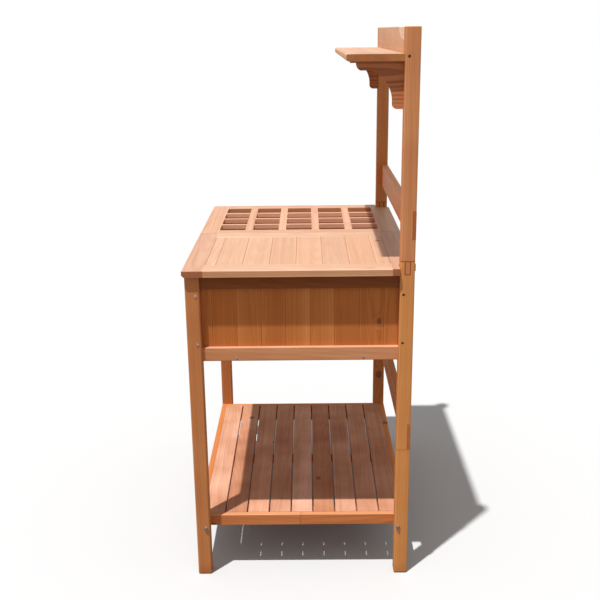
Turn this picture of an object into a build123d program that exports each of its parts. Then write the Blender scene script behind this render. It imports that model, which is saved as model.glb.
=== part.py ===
from build123d import *
import os

os.makedirs("parts", exist_ok=True)

# Overall sizes in millimetres: X along the bench, -Y the front, Z up from the floor
length_over_legs = 900
depth_over_legs = 600
post_height = 1500
stock = 38
top_height = 905
top_thickness = 18
end_overhang = 10
side_overhang = 6
edge_round = 2.5
leg_round = 4.5
foot_bevel = 4
small_bevel = 1.5

# Storage bin panels
panel_tall = 238
panel_rail_tall = stock
end_rail_thick = 30
end_rail_recess = 12
end_plank_recess = 12
plank_thick = 10
plank_pitch = 65.2
end_plank_first = 29
long_plank_first = 48
narrowest_board = 12
plank_groove = 8
long_panel_thick = 22
stile_wide = stock
tenon_long = 14
tenon_thick = 8
tenon_tall = 24

# Bin floor
floor_bearer_inset = 92
floor_bearer_wide = 32
floor_bearer_tall = 20
floor_board_thick = 10
floor_board_count = 12
floor_board_gap = 3

# Tongue and groove joint between boards
tongue_thick = 3.2
tongue_long = 5
tongue_clear = 0.3
board_vee = 1.5

# Lower shelf
shelf_top = 170
shelf_rail_tall = 33
shelf_rail_thick = 17
slat_thick = 16
slat_count = 9
slat_gap = 4
shelf_bearer_wide = 30
shelf_bearer_inset = 45

# Back boards lapped into the posts
back_board_tall = 72
back_board_thick = 19
lap_thick = 8
lower_back_drop = 257
splash_rise = 75

# Splice between rear leg and upper post
splice_rise = 17
splice_tongue_wide = 14

# Upper shelf, header and brackets
header_rise = 63
upper_shelf_thick = 17
upper_shelf_reach = 142
upper_shelf_inset = 4
header_thick = 20
shelf_nose_top = 4
shelf_nose_under = 6
bracket_thick = 17
bracket_inset = 10
bracket_drop = 115
lip_drop = 4
lip_back = 15
ovolo_back = 10
ovolo_drop = 18
hollow_reach = 87
hollow_bow = 17
foot_reach = 27
foot_tall = 17
foot_curl = 11

# Two lift-off halves of the worktop
half_gap = 1.5
post_clear = 1
front_rail_wide = 56
back_rail_wide = 64
front_nose_top = 3
front_nose_bevel = 6
end_nose_top = 3
plank_end_rail_wide = 62
plank_mid_rail_wide = 63
top_plank_thick = 10
top_plank_pitch = 71
top_plank_first = 28
top_ledge = 10
lattice_end_rail_wide = 56
lattice_mid_rail_wide = 46
long_bar_count = 4
long_bar_wide = 23.5
cross_bar_count = 3
cross_bar_wide = 15
lattice_bar_thick = 13
lattice_bevel = 1
bar_tenon_long = 8
bar_tenon_thick = 5
batten_wide = 30
batten_tall = 18
batten_clear = 3
batten_mid_inset = 20
batten_end_inset = 40
lattice_batten_inset = 8
rail_tenon_wide = 36
rail_tenon_rise = 5
bar_tenon_rise = 4
bar_tenon_shoulder = 3

# Fasteners
shank_clear = 0.3
bolt_shank = 5
bolt_head = 7.2
bolt_head_tall = 2
bolt_into_end = 30
panel_bolt_drops = (54, 187)
bolt_inset = 10
counterbore_deep = 4
counterbore_wide = 8
shelf_bolt_drop = 22
shelf_bolt_head = 10
shelf_head_tall = 4
shelf_head_bevel = 1.5
washer_wide = 13.5
washer_thick = 1.5
nut_wide = 9
nut_thick = 5
nut_sides = 6
header_bolt_drop = 6
screw_shank = 4
screw_head = 7
screw_head_tall = 1.8
floor_screw_rise = 9
floor_screw_into = 30
back_screw_spread = 36
back_screw_long = 28
small_round_sides = 8

# Places that follow from the sizes above
leg_out_x = length_over_legs / 2
leg_out_y = depth_over_legs / 2
leg_in_x = leg_out_x - stock
leg_in_y = leg_out_y - stock
leg_top = top_height - top_thickness
top_end_x = leg_out_x + end_overhang
top_side_y = leg_out_y + side_overhang
panel_bottom = leg_top - panel_tall
floor_bearer_y = leg_in_y - floor_bearer_inset
floor_screw_height = panel_bottom + floor_screw_rise
bolt_line_y = leg_in_y + bolt_inset
panel_bolt_heights = tuple(leg_top - drop for drop in panel_bolt_drops)
shelf_bolt_height = shelf_top - shelf_bolt_drop
lower_back_bottom = panel_bottom - lower_back_drop
splash_bottom = top_height + splash_rise
splice_shoulder = top_height + splice_rise
upper_shelf_top = post_height - header_rise
upper_shelf_front = leg_in_y - upper_shelf_reach
header_bolt_height = upper_shelf_top - header_bolt_drop


def block(x, y, z):
    """A plain block between two X, two Y and two Z values."""
    middle = ((x[0] + x[1]) / 2, (y[0] + y[1]) / 2, (z[0] + z[1]) / 2)
    return Pos(*middle) * Box(x[1] - x[0], y[1] - y[0], z[1] - z[0])


def eased(shape, axis, radius=edge_round):
    """The same block with the four edges along one axis rounded."""
    return fillet(shape.edges().filter_by(axis), radius)


def bevelled(shape, axis, size=small_bevel):
    """The same block with the four edges along one axis planed to a small bevel."""
    return chamfer(shape.edges().filter_by(axis), size)


def at_other_end(shape):
    """The same piece at the other end of the bench."""
    return mirror(shape, about=Plane.YZ)


def at_other_side(shape):
    """The same piece at the other long side of the bench."""
    return mirror(shape, about=Plane.XZ)


def rod_x(x, y, z, diameter, sides=small_round_sides):
    """A small round bar along X between two X values, with flat facets."""
    end = RegularPolygon(diameter / 2, sides)
    return extrude(Plane(origin=(x[0], y, z), z_dir=(1, 0, 0)) * end, x[1] - x[0])


def rod_y(x, y, z, diameter):
    """A small round bar along Y between two Y values, with flat facets."""
    end = RegularPolygon(diameter / 2, small_round_sides)
    return extrude(Plane(origin=(x, y[0], z), z_dir=(0, 1, 0)) * end, y[1] - y[0])


def group(pieces):
    """Several separate solids that share one node."""
    solids = [s for piece in pieces for s in piece.solids()]
    return Compound(children=solids)


def save(shape, node):
    export_step(shape, f"parts/{node}.step")


def seams_between(low, high, first, pitch):
    """Board edges from low to high: a narrower first board, full boards, then what is left."""
    count = int((high - low - first - narrowest_board) // pitch) + 1
    return [low] + [low + first + i * pitch for i in range(count)] + [high]


def matched_boards(seams, thick, start, length_plane):
    """Boards joined by tongue and groove, carried along the plane's normal from their profile."""
    tongue_low = (thick - tongue_thick) / 2
    tongue_high = tongue_low + tongue_thick
    groove_deep = tongue_long + tongue_clear
    boards = []
    for low, high in zip(seams[:-1], seams[1:]):
        outline = [(low, 0), (high, 0)]
        if high != seams[-1]:
            outline += [(high, tongue_low), (high + tongue_long, tongue_low)]
            outline += [(high + tongue_long, tongue_high), (high, tongue_high)]
        outline += [(high, thick - board_vee), (high - board_vee, thick)]
        outline += [(low + board_vee, thick), (low, thick - board_vee)]
        if low != seams[0]:
            outline += [(low, tongue_high + tongue_clear)]
            outline += [(low + groove_deep, tongue_high + tongue_clear)]
            outline += [(low + groove_deep, tongue_low - tongue_clear)]
            outline += [(low, tongue_low - tongue_clear)]
        profile = make_face(Polyline(*outline, close=True))
        boards.append(extrude(length_plane * profile, start, dir=length_plane.z_dir))
    return boards


# Rear and front legs
leg_stock = ((leg_in_x, leg_out_x), (-leg_out_y, -leg_in_y))
rail_out_x = leg_out_x - end_rail_recess
rail_in_x = rail_out_x - end_rail_thick
rail_mid_x = (rail_out_x + rail_in_x) / 2
top_rail_z = (leg_top - panel_rail_tall, leg_top)
bottom_rail_z = (panel_bottom, panel_bottom + panel_rail_tall)


def tenon_z(rail_z):
    middle = (rail_z[0] + rail_z[1]) / 2
    return (middle - tenon_tall / 2, middle + tenon_tall / 2)


end_tenon_x = (rail_mid_x - tenon_thick / 2, rail_mid_x + tenon_thick / 2)
front_leg = eased(block(*leg_stock, (0, leg_top)), Axis.Z, leg_round)
front_leg = chamfer(front_leg.faces().sort_by(Axis.Z)[0].edges(), foot_bevel)
rear_leg = at_other_side(eased(block(*leg_stock, (0, splice_shoulder)), Axis.Z, leg_round))
rear_leg = chamfer(rear_leg.faces().sort_by(Axis.Z)[0].edges(), foot_bevel)
for rail_z in (top_rail_z, bottom_rail_z):
    mortise = block(end_tenon_x, (-leg_in_y - tenon_long, -leg_in_y), tenon_z(rail_z))
    front_leg -= mortise
    rear_leg -= at_other_side(mortise)

bolt_hole = bolt_shank + 2 * shank_clear
through_leg = (leg_in_x - 1, leg_out_x + 1)
for height in panel_bolt_heights + (shelf_bolt_height,):
    front_leg -= rod_x(through_leg, -bolt_line_y, height, bolt_hole)
    rear_leg -= rod_x(through_leg, bolt_line_y, height, bolt_hole)
counterbore_x = (leg_out_x - counterbore_deep, leg_out_x + 1)
for height in panel_bolt_heights:
    rear_leg -= rod_x(counterbore_x, bolt_line_y, height, counterbore_wide)

# Bridle splice: a tongue on the upper post stands in a slot in the rear leg
splice_mid_y = leg_out_y - stock / 2
tongue_y = (splice_mid_y - splice_tongue_wide / 2, splice_mid_y + splice_tongue_wide / 2)
splice_z = (leg_top, splice_shoulder)
rear_leg -= block((leg_in_x - 1, leg_out_x + 1), tongue_y, (splice_z[0], splice_z[1] + 1))
post = block(leg_stock[0], (leg_in_y, leg_out_y), (splice_shoulder, post_height))
post = eased(post, Axis.Z, leg_round)
post = chamfer(post.faces().sort_by(Axis.Z)[-1].edges(), small_bevel)
post += block((leg_in_x, leg_out_x), tongue_y, splice_z)

# Notches in the rear faces for the lapped back boards
lap_y = (leg_out_y - lap_thick, leg_out_y + 1)
lower_back_z = (lower_back_bottom, lower_back_bottom + back_board_tall)
splash_z = (splash_bottom, splash_bottom + back_board_tall)
rear_leg -= block((leg_in_x - 1, leg_out_x + 1), lap_y, lower_back_z)
post -= block((leg_in_x - 1, leg_out_x + 1), lap_y, splash_z)
post -= rod_x(through_leg, bolt_line_y, header_bolt_height, bolt_hole)
post -= rod_x(counterbore_x, bolt_line_y, header_bolt_height, counterbore_wide)

back_screw_x = (leg_in_x + leg_out_x) / 2
screw_hole = screw_shank + 2 * shank_clear
screw_tip_y = leg_out_y - back_screw_long
back_screws = []
screw_tools = {"lower": [], "splash": []}
for name, board_z in (("lower", lower_back_z), ("splash", splash_z)):
    middle = (board_z[0] + board_z[1]) / 2
    for height in (middle - back_screw_spread / 2, middle + back_screw_spread / 2):
        screw = rod_y(back_screw_x, (screw_tip_y, leg_out_y), height, screw_shank)
        head = rod_y(back_screw_x, (leg_out_y, leg_out_y + screw_head_tall), height, screw_head)
        back_screws += [screw + head, at_other_end(screw + head)]
        hole_y = (screw_tip_y - shank_clear, leg_out_y + 1)
        screw_tools[name].append(rod_y(back_screw_x, hole_y, height, screw_hole))
for hole in screw_tools["lower"]:
    rear_leg -= hole
for hole in screw_tools["splash"]:
    post -= hole

save(front_leg, "front_leg_right")
save(at_other_end(front_leg), "front_leg_left")
save(rear_leg, "rear_leg_right")
save(at_other_end(rear_leg), "rear_leg_left")
save(post, "upper_post_right")
save(at_other_end(post), "upper_post_left")

# End panels: two rails tenoned between the legs, boards standing in their grooves
plank_out_x = rail_out_x - end_plank_recess
plank_in_x = plank_out_x - plank_thick
groove_x = (plank_in_x, plank_out_x)
end_rails = {}
for name, rail_z in (("top", top_rail_z), ("bottom", bottom_rail_z)):
    rail = eased(block((rail_in_x, rail_out_x), (-leg_in_y, leg_in_y), rail_z), Axis.Y)
    if name == "top":
        groove_z = (rail_z[0] - 1, rail_z[0] + plank_groove)
    else:
        groove_z = (rail_z[1] - plank_groove, rail_z[1] + 1)
    rail -= block(groove_x, (-leg_in_y - 1, leg_in_y + 1), groove_z)
    rail += block(end_tenon_x, (-leg_in_y - tenon_long, -leg_in_y), tenon_z(rail_z))
    rail += block(end_tenon_x, (leg_in_y, leg_in_y + tenon_long), tenon_z(rail_z))
    end_rails[name] = rail
for side in (-1, 1):
    hole_x = (rail_in_x - 1, rail_out_x + 1)
    end_rails["bottom"] -= rod_x(hole_x, side * floor_bearer_y, floor_screw_height, screw_hole)
save(end_rails["top"], "end_top_rail_right")
save(at_other_end(end_rails["top"]), "end_top_rail_left")
save(end_rails["bottom"], "end_bottom_rail_right")
save(at_other_end(end_rails["bottom"]), "end_bottom_rail_left")

board_top = top_rail_z[0] + plank_groove
board_bottom = bottom_rail_z[1] - plank_groove
end_seams = seams_between(-leg_in_y, leg_in_y, end_plank_first, plank_pitch)
end_plane = Plane(origin=(plank_in_x, 0, board_top), x_dir=(0, 1, 0), z_dir=(0, 0, -1))
end_planks = group(matched_boards(end_seams, plank_thick, board_top - board_bottom, end_plane))
save(end_planks, "end_planks_right")
save(at_other_end(end_planks), "end_planks_left")

# Long panels: stiles bolted to the legs, rails tenoned between the stiles
panel_y = (-leg_in_y - long_panel_thick, -leg_in_y)
panel_mid_y = (panel_y[0] + panel_y[1]) / 2
panel_groove_y = (panel_mid_y - plank_thick / 2, panel_mid_y + plank_thick / 2)
stile_in_x = leg_in_x - stile_wide
stile_tenon_y = (panel_mid_y - tenon_thick / 2, panel_mid_y + tenon_thick / 2)
stile = bevelled(block((stile_in_x, leg_in_x), panel_y, (panel_bottom, leg_top)), Axis.Z)
for rail_z in (top_rail_z, bottom_rail_z):
    stile -= block((stile_in_x - 1, stile_in_x + tenon_long), stile_tenon_y, tenon_z(rail_z))
stile_hole_x = (leg_in_x - bolt_into_end - shank_clear, leg_in_x + 1)
for height in panel_bolt_heights:
    stile -= rod_x(stile_hole_x, -bolt_line_y, height, bolt_hole)
front_stiles = group([stile, at_other_end(stile)])
save(front_stiles, "front_stiles")
save(at_other_side(front_stiles), "back_stiles")

for name, rail_z in (("top", top_rail_z), ("bottom", bottom_rail_z)):
    rail = bevelled(block((-stile_in_x, stile_in_x), panel_y, rail_z), Axis.X)
    if name == "top":
        groove_z = (rail_z[0] - 1, rail_z[0] + plank_groove)
    else:
        groove_z = (rail_z[1] - plank_groove, rail_z[1] + 1)
    rail -= block((-stile_in_x - 1, stile_in_x + 1), panel_groove_y, groove_z)
    tenon = block((stile_in_x, stile_in_x + tenon_long), stile_tenon_y, tenon_z(rail_z))
    rail = rail + tenon + at_other_end(tenon)
    save(rail, f"front_{name}_rail")
    save(at_other_side(rail), f"back_{name}_rail")

long_seams = seams_between(-stile_in_x, stile_in_x, long_plank_first, plank_pitch)
long_plane = Plane(origin=(0, panel_groove_y[1], board_top), x_dir=(1, 0, 0), z_dir=(0, 0, -1))
long_planks = group(matched_boards(long_seams, plank_thick, board_top - board_bottom, long_plane))
save(long_planks, "front_planks")
save(at_other_side(long_planks), "back_planks")

# Bin floor: two bearers screwed between the end rails, boards laid across them
bearer_y = (floor_bearer_y - floor_bearer_wide / 2, floor_bearer_y + floor_bearer_wide / 2)
bearer_z = (panel_bottom, panel_bottom + floor_bearer_tall)
floor_bearer = block((-rail_in_x, rail_in_x), bearer_y, bearer_z)
floor_screw_tip = rail_in_x - floor_screw_into
floor_hole_x = (floor_screw_tip - shank_clear, rail_in_x + 1)
floor_hole = rod_x(floor_hole_x, floor_bearer_y, floor_screw_height, screw_hole)
floor_bearer = floor_bearer - floor_hole - at_other_end(floor_hole)
save(group([floor_bearer, at_other_side(floor_bearer)]), "floor_bearers")
floor_z = (bearer_z[1], bearer_z[1] + floor_board_thick)
floor_pitch = (2 * rail_in_x + floor_board_gap) / floor_board_count
floor_boards = []
for i in range(floor_board_count):
    low = -rail_in_x + i * floor_pitch
    floor_board = block((low, low + floor_pitch - floor_board_gap), (-leg_in_y, leg_in_y), floor_z)
    floor_boards.append(floor_board)
save(group(floor_boards), "floor_boards")

# Lower shelf: a frame between the legs with slats lying on bearers
shelf_z = (shelf_top - shelf_rail_tall, shelf_top)
rail_inner_y = leg_out_y - shelf_rail_thick
shelf_rail = block((-leg_in_x, leg_in_x), (-leg_out_y, -rail_inner_y), shelf_z)
shelf_rail = eased(shelf_rail, Axis.X)
save(shelf_rail, "shelf_front_rail")
save(at_other_side(shelf_rail), "shelf_back_rail")
shelf_end_in_x = leg_in_x - shelf_rail_thick
shelf_end = block((shelf_end_in_x, leg_in_x), (-rail_inner_y, rail_inner_y), shelf_z)
shelf_end = eased(shelf_end, Axis.Y, 2)
for side in (-1, 1):
    hole_x = (shelf_end_in_x - 1, leg_in_x + 1)
    shelf_end -= rod_x(hole_x, side * bolt_line_y, shelf_bolt_height, bolt_hole)
save(shelf_end, "shelf_end_rail_right")
save(at_other_end(shelf_end), "shelf_end_rail_left")
shelf_bearer_z = (shelf_z[0], shelf_top - slat_thick)
shelf_bearers = []
shelf_bearer_x = shelf_end_in_x - shelf_bearer_inset
for x in (-shelf_bearer_x, 0, shelf_bearer_x):
    bearer_x = (x - shelf_bearer_wide / 2, x + shelf_bearer_wide / 2)
    shelf_bearers.append(block(bearer_x, (-rail_inner_y, rail_inner_y), shelf_bearer_z))
save(group(shelf_bearers), "shelf_bearers")
slat_pitch = (2 * rail_inner_y + slat_gap) / slat_count
slats = []
for i in range(slat_count):
    low = -rail_inner_y + i * slat_pitch
    slat_y = (low, low + slat_pitch - slat_gap)
    slat = block((-shelf_end_in_x, shelf_end_in_x), slat_y, (shelf_top - slat_thick, shelf_top))
    top_edges = slat.edges().filter_by(Axis.X).group_by(Axis.Z)[-1]
    slats.append(chamfer(top_edges, small_bevel))
save(group(slats), "shelf_slats")

# Back boards with shouldered ends lying in the notches of the posts
back_board_y = (leg_out_y - back_board_thick, leg_out_y)
for node, board_z, holes in (
    ("lower_back_rail", lower_back_z, screw_tools["lower"]),
    ("splash_board", splash_z, screw_tools["splash"]),
):
    board = bevelled(block((-leg_in_x, leg_in_x), back_board_y, board_z), Axis.X)
    lap = block((leg_in_x, leg_out_x), (leg_out_y - lap_thick, leg_out_y), board_z)
    for hole in holes:
        lap -= hole
    save(board + lap + at_other_end(lap), node)
save(group(back_screws), "back_board_screws")

# Header between the upper posts, with the upper shelf and its shaped brackets
shelf_under = upper_shelf_top - upper_shelf_thick
header = block((-leg_in_x, leg_in_x), (leg_in_y, leg_in_y + header_thick), (shelf_under, post_height))
header = eased(header, Axis.X)
header_hole_x = (leg_in_x - bolt_into_end - shank_clear, leg_in_x + 1)
header_hole = rod_x(header_hole_x, bolt_line_y, header_bolt_height, bolt_hole)
save(header - header_hole - at_other_end(header_hole), "header_board")
upper_end_x = leg_out_x - upper_shelf_inset
upper_y = (upper_shelf_front, leg_in_y)
upper_shelf = block((-upper_end_x, upper_end_x), upper_y, (shelf_under, upper_shelf_top))
nose = upper_shelf.edges().filter_by(Axis.X).group_by(Axis.Y)[0]
upper_shelf = fillet(nose.sort_by(Axis.Z)[-1], shelf_nose_top)
nose = upper_shelf.edges().filter_by(Axis.X).group_by(Axis.Y)[0]
upper_shelf = fillet(nose.sort_by(Axis.Z)[0], shelf_nose_under)
save(upper_shelf, "upper_shelf_board")

# Bracket profile as reach out from the post and drop below the shelf
bracket_reach = upper_shelf_reach - bracket_inset
ovolo_start = (bracket_reach - lip_back, lip_drop)
ovolo_end = (ovolo_start[0] - ovolo_back, lip_drop + ovolo_drop)
hollow_start = (hollow_reach, ovolo_end[1])
hollow_end = (foot_reach, bracket_drop - foot_tall)
foot_start = (foot_reach, bracket_drop - foot_curl)
foot_end = (foot_reach - foot_curl, bracket_drop)
profile = Polyline((0, 0), (bracket_reach, 0), (bracket_reach, lip_drop), ovolo_start)
profile += RadiusArc(ovolo_start, ovolo_end, -ovolo_drop)
profile += Line(ovolo_end, hollow_start)
profile += SagittaArc(hollow_start, hollow_end, hollow_bow)
profile += Line(hollow_end, foot_start)
profile += RadiusArc(foot_start, foot_end, -foot_curl)
profile += Polyline(foot_end, (0, bracket_drop), (0, 0))
bracket_plane = Plane(
    origin=(leg_in_x, leg_in_y, shelf_under), x_dir=(0, -1, 0), z_dir=(1, 0, 0)
)
bracket_face = bracket_plane * make_face(profile)
bracket = extrude(bracket_face, bracket_thick, dir=(1, 0, 0))
save(bracket, "shelf_bracket_right")
save(at_other_end(bracket), "shelf_bracket_left")

# Worktop halves: rails all round, with tenoned cross rails
top_z = (leg_top, top_height)
front_in_y = -top_side_y + front_rail_wide
back_in_y = top_side_y - back_rail_wide
rail_tenon_z = (leg_top + rail_tenon_rise, leg_top + rail_tenon_rise + tenon_thick)
half_x = half_gap / 2
notch_x = (leg_in_x - post_clear, top_end_x + 1)
notch_y = (leg_in_y - post_clear, top_side_y + 1)
post_notch = block(notch_x, notch_y, (leg_top - 1, top_height + 1))


def cross_rail(x):
    """A rail across the worktop with a stub tenon at each end, and the mortise blocks it needs."""
    middle = (x[0] + x[1]) / 2
    tenon_x = (middle - rail_tenon_wide / 2, middle + rail_tenon_wide / 2)
    front_tenon = block(tenon_x, (front_in_y - tenon_long, front_in_y), rail_tenon_z)
    back_tenon = block(tenon_x, (back_in_y, back_in_y + tenon_long), rail_tenon_z)
    return block(x, (front_in_y, back_in_y), top_z), front_tenon, back_tenon


def nosed_front(rail):
    """The same rail with the top edge of its front face rounded and the lower one planed back."""
    front_edges = rail.edges().filter_by(Axis.X).group_by(Axis.Y)[0].sort_by(Axis.Z)
    rail = fillet(front_edges[-1], front_nose_top)
    front_edges = rail.edges().filter_by(Axis.X).group_by(Axis.Y)[0].sort_by(Axis.Z)
    return chamfer(front_edges[0], front_nose_bevel)


def nosed_end(rail, side):
    """The same rail with the top edge of its outer end rounded, on the right or the left."""
    outermost = -1 if side == "right" else 0
    end_edges = rail.edges().filter_by(Axis.Y).group_by(Axis.X)[outermost]
    return fillet(end_edges.sort_by(Axis.Z)[-1], end_nose_top)


# Plank half of the worktop
plank_front = block((half_x, top_end_x), (-top_side_y, front_in_y), top_z)
plank_front = nosed_end(nosed_front(plank_front), "right")
plank_back = block((half_x, top_end_x), (back_in_y, top_side_y), top_z) - post_notch
plank_end_x = (top_end_x - plank_end_rail_wide, top_end_x)
plank_mid_x = (half_x, half_x + plank_mid_rail_wide)
plank_end, end_front_tenon, end_back_tenon = cross_rail(plank_end_x)
plank_mid, mid_front_tenon, mid_back_tenon = cross_rail(plank_mid_x)
plank_end = nosed_end(plank_end, "right")
ledge_z = (leg_top, top_height - top_plank_thick)
field_x = (plank_mid_x[1], plank_end_x[0])
field_y = (front_in_y, back_in_y)
ledge_y = (field_y[0] + top_ledge, field_y[1] - top_ledge)
plank_front += block(field_x, (field_y[0], ledge_y[0]), ledge_z)
plank_back += block(field_x, (ledge_y[1], field_y[1]), ledge_z)
plank_end += block((field_x[1] - top_ledge, field_x[1]), ledge_y, ledge_z)
plank_mid += block((field_x[0], field_x[0] + top_ledge), ledge_y, ledge_z)
save(plank_front - end_front_tenon - mid_front_tenon, "plank_top_front_rail")
save(plank_back - end_back_tenon - mid_back_tenon, "plank_top_back_rail")
save(plank_end + end_front_tenon + end_back_tenon, "plank_top_end_rail")
save(plank_mid + mid_front_tenon + mid_back_tenon, "plank_top_mid_rail")
top_seams = seams_between(*field_y, top_plank_first, top_plank_pitch)
field_plane = Plane(
    origin=(field_x[0], 0, top_height - top_plank_thick), x_dir=(0, 1, 0), z_dir=(1, 0, 0)
)
top_planks = matched_boards(top_seams, top_plank_thick, field_x[1] - field_x[0], field_plane)
save(group(top_planks), "plank_top_planks")
batten_y = (-leg_in_y + batten_clear, leg_in_y - batten_clear)
batten_z = (leg_top - batten_tall, leg_top)
mid_batten_x = (plank_mid_x[0] + batten_mid_inset, plank_mid_x[0] + batten_mid_inset + batten_wide)
end_batten_x = (field_x[1] - batten_end_inset - batten_wide, field_x[1] - batten_end_inset)
plank_battens = [block(x, batten_y, batten_z) for x in (mid_batten_x, end_batten_x)]
save(group(plank_battens), "plank_top_battens")

# Lattice half of the worktop
lattice_front = block((-top_end_x, -half_x), (-top_side_y, front_in_y), top_z)
lattice_front = nosed_end(nosed_front(lattice_front), "left")
lattice_back = block((-top_end_x, -half_x), (back_in_y, top_side_y), top_z) - at_other_end(post_notch)
lattice_end_x = (-top_end_x, -top_end_x + lattice_end_rail_wide)
lattice_mid_x = (-half_x - lattice_mid_rail_wide, -half_x)
lattice_end, end_front_tenon, end_back_tenon = cross_rail(lattice_end_x)
lattice_mid, mid_front_tenon, mid_back_tenon = cross_rail(lattice_mid_x)
lattice_end = nosed_end(lattice_end, "left")
lattice_front = lattice_front - end_front_tenon - mid_front_tenon
lattice_back = lattice_back - end_back_tenon - mid_back_tenon
lattice_end = lattice_end + end_front_tenon + end_back_tenon
lattice_mid = lattice_mid + mid_front_tenon + mid_back_tenon

# Bars half lapped where they cross and stub tenoned into the rails, all flush on top
grid_x = (lattice_end_x[1], lattice_mid_x[0])
grid_y = field_y
hole_y = (grid_y[1] - grid_y[0] - long_bar_count * long_bar_wide) / (long_bar_count + 1)
hole_x = (grid_x[1] - grid_x[0] - cross_bar_count * cross_bar_wide) / (cross_bar_count + 1)
bar_z = (top_height - lattice_bar_thick, top_height)
lap_z = bar_z[0] + lattice_bar_thick / 2
bar_tenon_z = (bar_z[0] + bar_tenon_rise, bar_z[0] + bar_tenon_rise + bar_tenon_thick)
long_lows = [grid_y[0] + (i + 1) * hole_y + i * long_bar_wide for i in range(long_bar_count)]
cross_lows = [grid_x[0] + (i + 1) * hole_x + i * cross_bar_wide for i in range(cross_bar_count)]
long_bars = []
for low in long_lows:
    bar = block(grid_x, (low, low + long_bar_wide), bar_z)
    bar = chamfer(bar.edges().filter_by(Axis.X).group_by(Axis.Z)[-1], lattice_bevel)
    for cross in cross_lows:
        lap_x = (cross, cross + cross_bar_wide)
        bar -= block(lap_x, (low - 1, low + long_bar_wide + 1), (bar_z[0] - 1, lap_z))
    tenon_y = (low + bar_tenon_shoulder, low + long_bar_wide - bar_tenon_shoulder)
    end_tenon = block((grid_x[0] - bar_tenon_long, grid_x[0]), tenon_y, bar_tenon_z)
    mid_tenon = block((grid_x[1], grid_x[1] + bar_tenon_long), tenon_y, bar_tenon_z)
    lattice_end -= end_tenon
    lattice_mid -= mid_tenon
    long_bars.append(bar + end_tenon + mid_tenon)
cross_bars = []
for low in cross_lows:
    bar = block((low, low + cross_bar_wide), grid_y, bar_z)
    for long_low in long_lows:
        lap_y = (long_low, long_low + long_bar_wide)
        bar -= block((low - 1, low + cross_bar_wide + 1), lap_y, (lap_z, bar_z[1] + 1))
    tenon_x = (low + bar_tenon_shoulder, low + cross_bar_wide - bar_tenon_shoulder)
    front_tenon = block(tenon_x, (grid_y[0] - bar_tenon_long, grid_y[0]), bar_tenon_z)
    back_tenon = block(tenon_x, (grid_y[1], grid_y[1] + bar_tenon_long), bar_tenon_z)
    lattice_front -= front_tenon
    lattice_back -= back_tenon
    cross_bars.append(bar + front_tenon + back_tenon)
save(lattice_front, "lattice_top_front_rail")
save(lattice_back, "lattice_top_back_rail")
save(lattice_end, "lattice_top_end_rail")
save(lattice_mid, "lattice_top_mid_rail")
save(group(long_bars), "lattice_long_bars")
save(group(cross_bars), "lattice_cross_bars")
lattice_batten_low = lattice_mid_x[0] + lattice_batten_inset
lattice_batten_x = (lattice_batten_low, lattice_batten_low + batten_wide)
save(block(lattice_batten_x, batten_y, batten_z), "lattice_top_batten")

# Bolts and screws through the legs
front_bolts = []
rear_bolts = []
for height in panel_bolt_heights:
    shank_x = (leg_in_x - bolt_into_end, leg_out_x)
    head_x = (leg_out_x, leg_out_x + bolt_head_tall)
    bolt = rod_x(shank_x, -bolt_line_y, height, bolt_shank)
    bolt += rod_x(head_x, -bolt_line_y, height, bolt_head)
    front_bolts += [bolt, at_other_end(bolt)]
    recessed = Pos(-counterbore_deep, 0, 0) * at_other_side(bolt)
    cut = block((0, leg_in_x - bolt_into_end), (0, leg_out_y), (0, post_height))
    recessed -= cut
    rear_bolts += [recessed, at_other_end(recessed)]
save(group(front_bolts), "front_panel_bolts")
save(group(rear_bolts), "rear_panel_bolts")
header_shank = rod_x((leg_in_x - bolt_into_end, leg_out_x), bolt_line_y, header_bolt_height, bolt_shank)
header_head_x = (leg_out_x - counterbore_deep, leg_out_x - counterbore_deep + bolt_head_tall)
header_shank -= block((header_head_x[1], leg_out_x + 1), (0, leg_out_y), (0, post_height))
header_bolt = header_shank + rod_x(header_head_x, bolt_line_y, header_bolt_height, bolt_head)
save(group([header_bolt, at_other_end(header_bolt)]), "header_bolts")

nut_x = (shelf_end_in_x - nut_thick, shelf_end_in_x)
washer_x = (leg_out_x, leg_out_x + washer_thick)
shelf_head_x = (washer_x[1], washer_x[1] + shelf_head_tall)
shelf_bolts = []
washers = []
nuts = []
for side in (-1, 1):
    y = side * bolt_line_y
    bolt = rod_x((nut_x[0], washer_x[1]), y, shelf_bolt_height, bolt_shank)
    head = rod_x(shelf_head_x, y, shelf_bolt_height, shelf_bolt_head)
    head = chamfer(head.edges().group_by(Axis.X)[-1], shelf_head_bevel)
    shelf_bolts += [bolt + head, at_other_end(bolt + head)]
    washer = rod_x(washer_x, y, shelf_bolt_height, washer_wide)
    washer -= rod_x((washer_x[0] - 1, washer_x[1] + 1), y, shelf_bolt_height, bolt_hole)
    washers += [washer, at_other_end(washer)]
    nut = rod_x(nut_x, y, shelf_bolt_height, nut_wide, nut_sides)
    nut -= rod_x((nut_x[0] - 1, nut_x[1] + 1), y, shelf_bolt_height, bolt_hole)
    nuts += [nut, at_other_end(nut)]
save(group(shelf_bolts), "shelf_bolts")
save(group(washers), "shelf_bolt_washers")
save(group(nuts), "shelf_bolt_nuts")

floor_screws = []
for side in (-1, 1):
    screw_x = (floor_screw_tip, rail_out_x)
    screw = rod_x(screw_x, side * floor_bearer_y, floor_screw_height, screw_shank)
    head_x = (rail_out_x, rail_out_x + screw_head_tall)
    screw += rod_x(head_x, side * floor_bearer_y, floor_screw_height, screw_head)
    floor_screws += [screw, at_other_end(screw)]
save(group(floor_screws), "floor_screws")
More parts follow.
